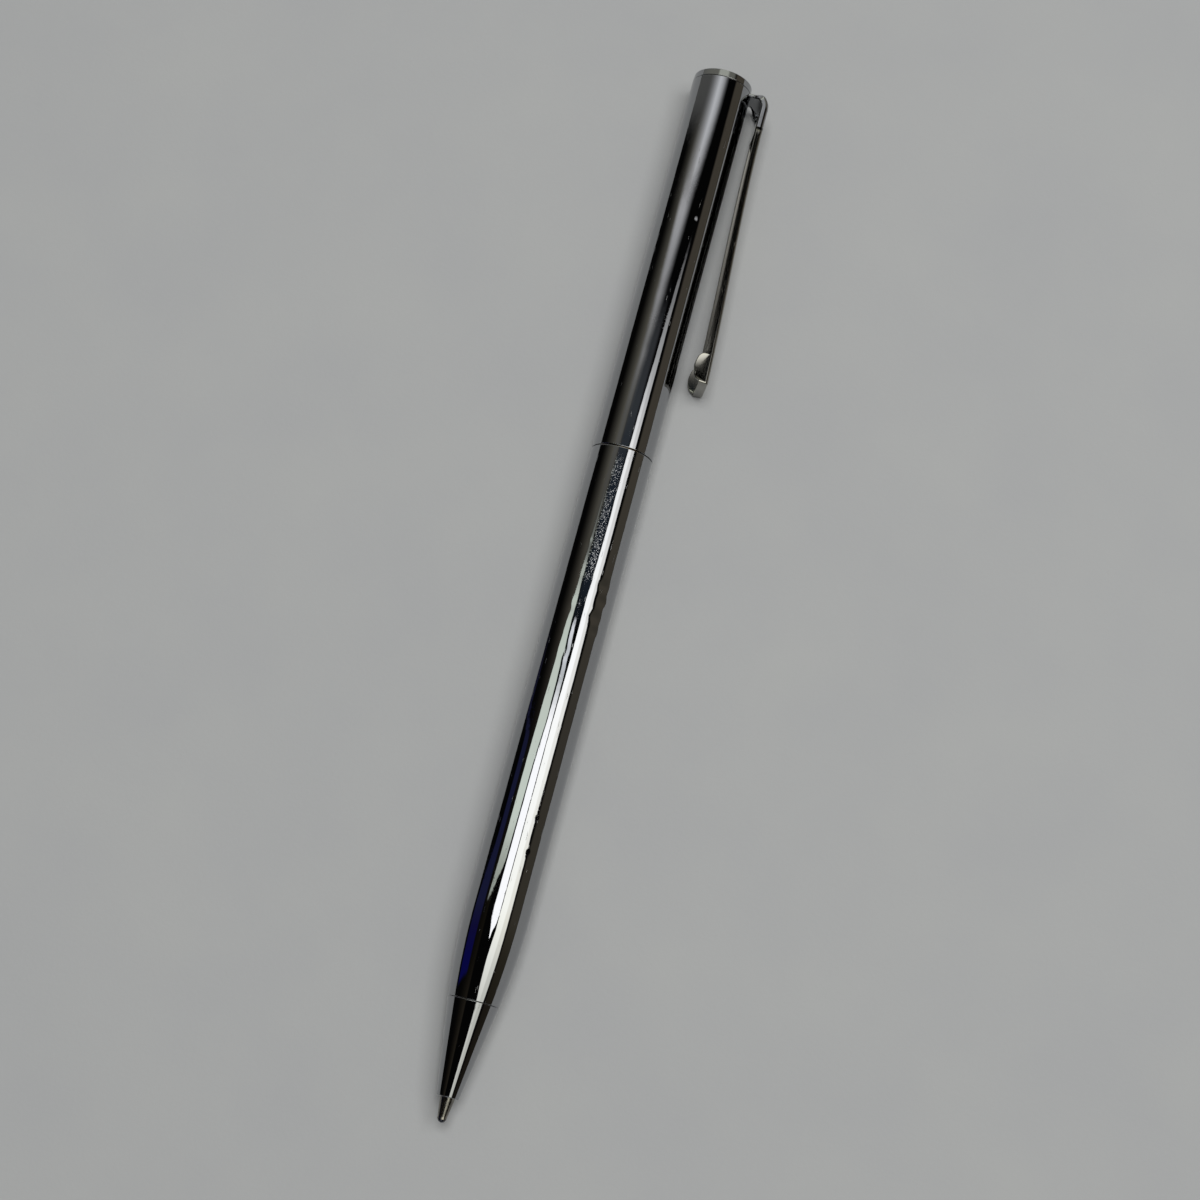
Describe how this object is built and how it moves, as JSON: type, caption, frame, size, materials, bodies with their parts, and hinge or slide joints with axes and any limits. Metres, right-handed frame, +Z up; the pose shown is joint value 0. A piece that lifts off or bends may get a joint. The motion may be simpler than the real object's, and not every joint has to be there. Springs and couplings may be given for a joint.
{
  "type": "ballpoint pen",
  "caption": "Slim twist-action ballpoint pen in bright plated metal, with a tapered nose, a sprung pocket clip and a refill that a half turn draws in.",
  "frame": {"origin": "on the table under the middle of the pen as it lies on its side", "axes": "+Y along the pen from its writing point to its cap end, +Z up, +X to the side where the clip is"},
  "size_m": [0.012, 0.1354, 0.0078],
  "materials": {
    "plated_brass": "bright plate with fine scuffs",
    "plated_steel": "bright plate with fine scuffs",
    "brass": "turned",
    "steel": "turned",
    "nickel_silver": "turned",
    "carbide": "ground",
    "nylon": "moulded",
    "ink": "wet paste"
  },
  "bodies": {
    "lower": {"nose_cone": "plated_brass", "lower_barrel": "plated_brass", "front_bush": "brass", "centre_bush": "brass", "guide_tube": "brass", "thrust_washer": "nylon", "retaining_ring": "steel"},
    "upper": {"upper_barrel": "plated_brass", "helix_sleeve": "brass", "grip_sleeve": "nylon", "clip_bush": "brass", "end_cap": "plated_brass", "clip_bracket": "plated_brass"},
    "clip": {"clip_arm": "plated_steel"},
    "refill": {"refill_follower": "nylon", "follower_pin": "steel", "refill_plug": "nylon", "refill_tube": "brass", "ink": "ink", "refill_point": "nickel_silver"},
    "ball": {"writing_ball": "carbide"}
  },
  "joints": [
    {"name": "twist", "type": "hinge", "parent": "lower", "child": "upper", "pos_m": [-0.00212, 0.0152, 0.0039], "axis": [0, 1, 0], "range_deg": [0, 180]},
    {"name": "refill_slide", "type": "slide", "parent": "lower", "child": "refill", "axis": [0, 1, 0], "range_m": [0, 0.0042]},
    {"name": "clip_flex", "type": "hinge", "parent": "upper", "child": "clip", "pos_m": [0.00403, 0.0616, 0.00315], "axis": [0.1206, 0, 0.9927], "range_deg": [-2.6, 6], "stiffness_Nm_per_rad": 2.6},
    {"name": "ball_roll", "type": "hinge", "parent": "refill", "child": "ball", "pos_m": [-0.00212, -0.0672, 0.0039], "axis": [1, 0, 0], "continuous": true}
  ],
  "couplings": [
    {"joint": "refill_slide", "follows": "twist", "m_per_rad": 0.0013369}
  ]
}
